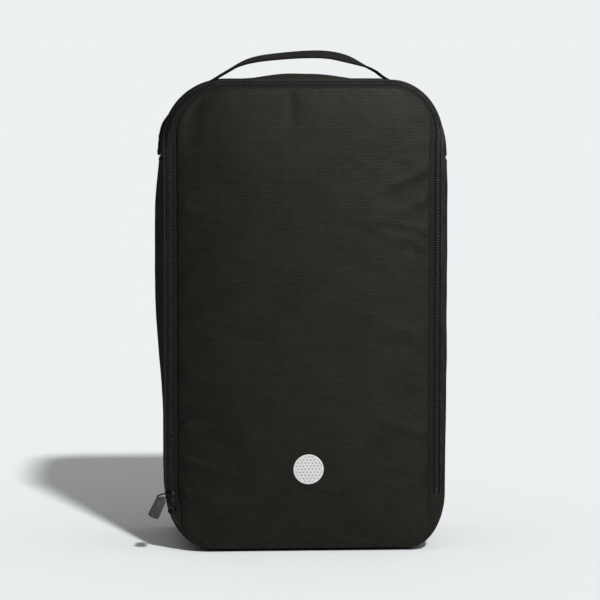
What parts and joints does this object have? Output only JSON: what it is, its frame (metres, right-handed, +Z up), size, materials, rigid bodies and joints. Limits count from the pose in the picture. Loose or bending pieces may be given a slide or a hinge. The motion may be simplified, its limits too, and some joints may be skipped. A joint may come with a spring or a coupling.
{
  "type": "golf shoe bag",
  "caption": "Upright padded shoe bag with a front flap that unzips on three sides, one zip slider with a soft pull tab and a webbing carry handle.",
  "frame": {"origin": "middle of the base, on the ground", "axes": "+X to the bag's right seen from the front, the front faces -Y, +Z up"},
  "size_m": [0.2291, 0.1314, 0.3786],
  "materials": {
    "cloth": "matt woven polyester with a fine raised grid",
    "lining": "smooth plain-weave lining",
    "foam": "soft closed-cell foam",
    "board": "stiff plastic sheet",
    "tape": "herringbone zip tape",
    "coil": "nylon coil",
    "webbing": "ribbed flat webbing",
    "metal": "black electroplate, satin",
    "rubber": "soft moulded tab, matt",
    "print": "heat-transfer print"
  },
  "bodies": {
    "case": {"base_panel": "cloth", "gusset_left": "cloth", "gusset_right": "cloth", "gusset_top": "cloth", "gusset_foam": "foam", "base_board": "board", "gusset_lining": "lining", "back_panel": "cloth", "back_foam": "foam", "back_lining": "lining", "back_seam_binding": "tape", "front_foot_panel": "cloth", "front_foot_foam": "foam", "front_foot_lining": "lining", "zip_facing": "cloth", "zip_tape_body": "tape", "zip_chain_body": "coil", "zip_end_left": "tape", "zip_end_right": "tape", "zip_stop_left": "metal", "zip_stop_right": "metal", "handle_end_left": "webbing", "handle_end_right": "webbing"},
    "flap": {"front_panel": "cloth", "front_foam": "foam", "front_lining": "lining", "zip_tape_flap": "tape", "zip_chain_flap": "coil", "emblem": "print"},
    "slider": {"slider": "metal"},
    "link": {"pull_link": "metal"},
    "tab": {"pull_tab": "rubber"},
    "handle": {"handle_strap": "webbing"}
  },
  "joints": [
    {"name": "flap_fold", "type": "hinge", "parent": "case", "child": "flap", "pos_m": [0, -0.0687, 0.05], "axis": [1, 0, 0], "range_deg": [0, 95]},
    {"name": "slider_travel", "type": "slide", "parent": "case", "child": "slider", "axis": [0, 0, 1], "range_m": [0, 0.25]},
    {"name": "link_turn", "type": "hinge", "parent": "slider", "child": "link", "pos_m": [-0.1015, -0.0656, 0.0445], "axis": [0, 1, 0], "range_deg": [-30, 60]},
    {"name": "tab_swing", "type": "hinge", "parent": "link", "child": "tab", "pos_m": [-0.1082, -0.06565, 0.04218], "axis": [1, 0, 0], "range_deg": [-100, 0]},
    {"name": "handle_swing", "type": "hinge", "parent": "case", "child": "handle", "pos_m": [0, 0, 0.3558], "axis": [1, 0, 0], "range_deg": [-25, 25], "stiffness_Nm_per_rad": 0.02}
  ]
}
